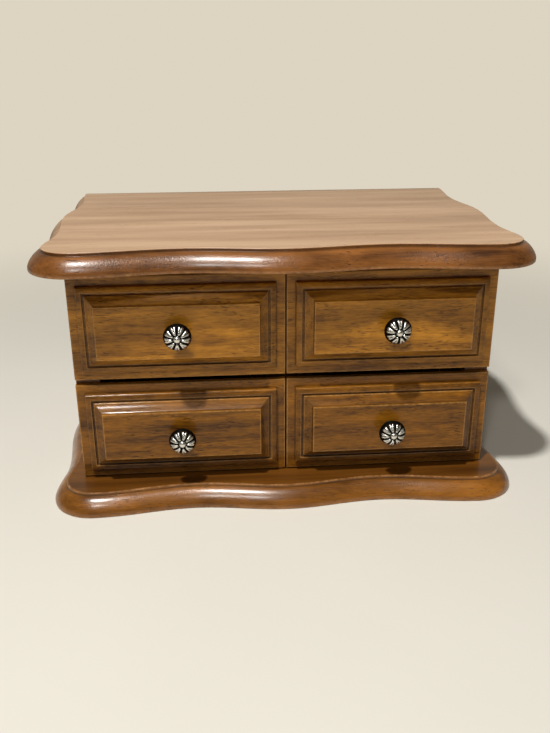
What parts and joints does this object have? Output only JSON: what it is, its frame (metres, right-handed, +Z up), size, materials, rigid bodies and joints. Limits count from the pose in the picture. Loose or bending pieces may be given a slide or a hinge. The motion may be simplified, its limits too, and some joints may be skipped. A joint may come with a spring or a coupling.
{
  "type": "vanity box with mirror",
  "caption": "Wooden vanity and jewellery box: a hinged lid with a mirror under it closes a lined compartment, and drawers slide below.",
  "frame": {"origin": "on the table, under the middle of the base board", "axes": "+X to the right along the front, +Y from the front to the back, +Z up"},
  "size_m": [0.2904, 0.2036, 0.1584],
  "materials": {
    "board_wood": "stained and lacquered, glossy on the moulded edge",
    "front_wood": "stained and satin lacquered, with short dark pores",
    "case_wood": "stained and satin lacquered",
    "drawer_wood": "bare, sanded",
    "frame_wood": "stained and satin lacquered",
    "pewter": "cast, blackened in the hollows and rubbed bright on the high spots",
    "screw_steel": "zinc plated",
    "hinge_brass": "polished",
    "velvet": "short pile velvet on card or foam",
    "mirror_silver": "silvered behind clear glass"
  },
  "bodies": {
    "case": {"base_board": "board_wood", "base_screws": "screw_steel", "side_left": "case_wood", "side_right": "case_wood", "back_panel": "case_wood", "centre_divider": "case_wood", "compartment_floor": "drawer_wood", "front_rail": "case_wood", "upper_front_left": "front_wood", "upper_front_right": "front_wood", "knob_upper_left": "pewter", "knob_upper_right": "pewter", "upper_knob_screws": "screw_steel", "floor_lining": "velvet", "lining_front": "velvet", "lining_back": "velvet", "lining_left": "velvet", "lining_right": "velvet", "partition_long": "velvet", "partition_cross": "velvet", "ring_cushion": "velvet", "hinge_case_leaves": "hinge_brass", "hinge_pins": "hinge_brass", "hinge_case_screws": "hinge_brass"},
    "lid": {"lid_board": "board_wood", "mirror_card": "velvet", "mirror_glass": "mirror_silver", "mirror_frame_front": "frame_wood", "mirror_frame_back": "frame_wood", "mirror_frame_left": "frame_wood", "mirror_frame_right": "frame_wood", "hinge_lid_leaves": "hinge_brass", "hinge_lid_screws": "hinge_brass"},
    "drawer_left": {"drawer_left_front": "front_wood", "drawer_left_subfront": "drawer_wood", "drawer_left_side_outer": "drawer_wood", "drawer_left_side_inner": "drawer_wood", "drawer_left_back": "drawer_wood", "drawer_left_bottom": "drawer_wood", "drawer_left_lining": "velvet", "knob_lower_left": "pewter", "knob_screw_lower_left": "screw_steel"},
    "drawer_right": {"drawer_right_front": "front_wood", "drawer_right_subfront": "drawer_wood", "drawer_right_side_outer": "drawer_wood", "drawer_right_side_inner": "drawer_wood", "drawer_right_back": "drawer_wood", "drawer_right_bottom": "drawer_wood", "drawer_right_lining": "velvet", "knob_lower_right": "pewter", "knob_screw_lower_right": "screw_steel"}
  },
  "joints": [
    {"name": "lid_hinge", "type": "hinge", "parent": "case", "child": "lid", "pos_m": [0, 0.09905, 0.14565], "axis": [-1, 0, 0], "range_deg": [0, 100]},
    {"name": "drawer_left_slide", "type": "slide", "parent": "case", "child": "drawer_left", "axis": [0, -1, 0], "range_m": [0, 0.12]},
    {"name": "drawer_right_slide", "type": "slide", "parent": "case", "child": "drawer_right", "axis": [0, -1, 0], "range_m": [0, 0.12]}
  ]
}
